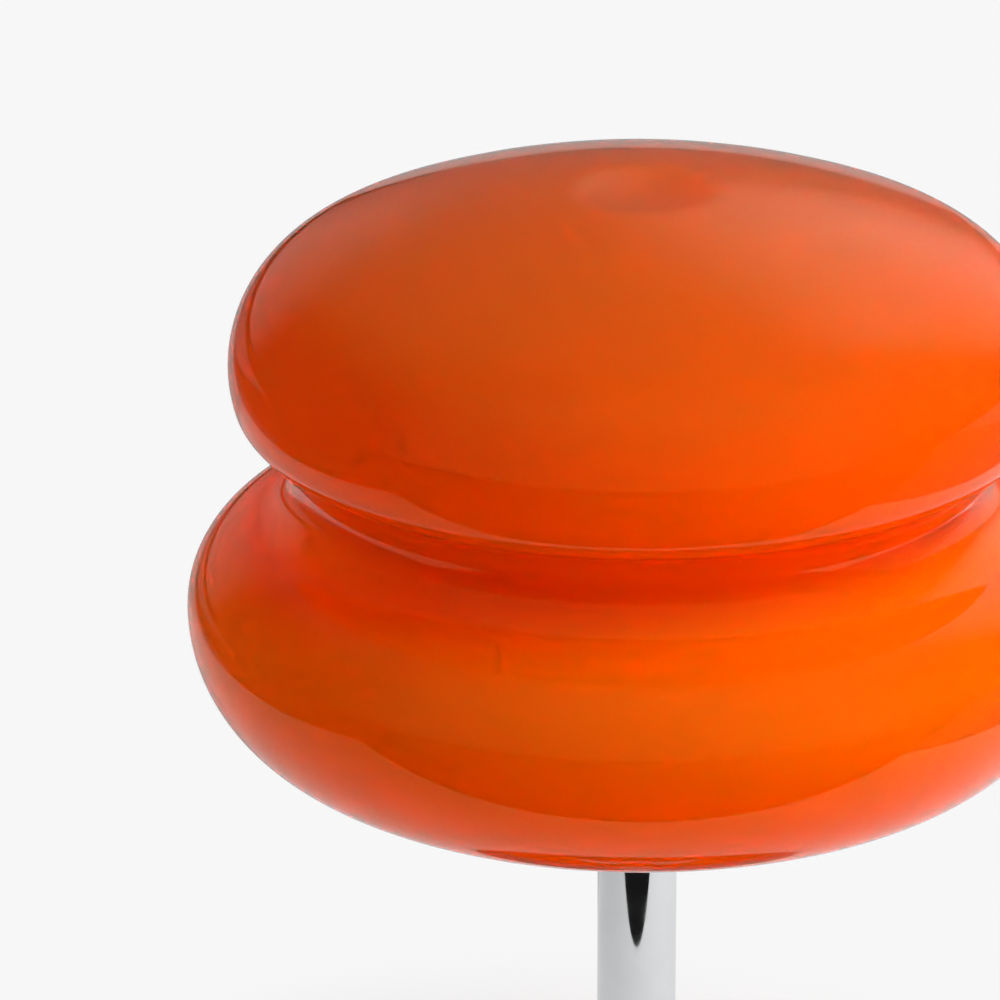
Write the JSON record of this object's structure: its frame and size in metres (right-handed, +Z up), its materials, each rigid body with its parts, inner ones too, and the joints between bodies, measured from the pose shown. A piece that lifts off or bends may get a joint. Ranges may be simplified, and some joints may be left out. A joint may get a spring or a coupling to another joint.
{
  "type": "table lamp",
  "caption": "Table lamp with a two-tier blown glass shade that rests on a gallery over a slim chrome stem and a weighted round base.",
  "frame": {"origin": "centre of the face of the felt pad that rests on the table", "axes": "+Z up along the stem; the cord inlet is in the base's back, at +Y"},
  "size_m": [0.282, 0.282, 0.3608],
  "materials": {
    "orange_glass": "glossy cased opal glass, orange outside",
    "polished_chrome": "mirror polished plate",
    "zinc_steel": "bright zinc plated",
    "cast_iron": "rough cast, painted",
    "brass": "turned and pressed, bare",
    "black_rubber": "matt moulded",
    "clear_silicone": "satin moulded silicone",
    "grey_felt": "pressed felt",
    "white_ceramic": "glazed ceramic",
    "white_plastic": "moulded thermoplastic",
    "bulb_diffuser": "satin opal diffuser",
    "nickel_cap": "nickel plated pressed sheet",
    "board_aluminium": "white lacquered aluminium board"
  },
  "bodies": {
    "stand": {"felt_pad": "grey_felt", "base_plate": "zinc_steel", "base_screws": "zinc_steel", "base_weight": "cast_iron", "base_cover": "polished_chrome", "cord_grommet": "black_rubber", "lower_nut": "zinc_steel", "lower_washer": "zinc_steel", "stem_foot": "brass", "stem_tube": "polished_chrome", "tie_tube": "zinc_steel", "stem_head": "brass", "shade_gallery": "polished_chrome", "gallery_gasket": "clear_silicone", "upper_washer": "zinc_steel", "upper_nut": "zinc_steel", "holder_cap": "white_plastic", "holder_grub_screw": "zinc_steel", "holder_core": "white_ceramic", "terminal_blocks": "brass", "terminal_screws": "zinc_steel", "centre_contact": "brass", "screw_shell": "brass", "holder_body": "white_plastic"},
    "shade": {"glass_shade": "orange_glass"},
    "bulb": {"bulb_tip": "zinc_steel", "bulb_insulator": "black_rubber", "bulb_cap": "nickel_cap", "bulb_housing": "white_plastic", "led_board": "board_aluminium", "bulb_globe": "bulb_diffuser"}
  },
  "joints": [
    {"name": "shade_lift", "type": "slide", "parent": "stand", "child": "shade", "axis": [0, 0, 1], "range_m": [0, 0.145]},
    {"name": "bulb_turn", "type": "hinge", "parent": "stand", "child": "bulb", "pos_m": [0, 0, 0.1966], "axis": [0, 0, 1], "range_deg": [0, 900]}
  ]
}
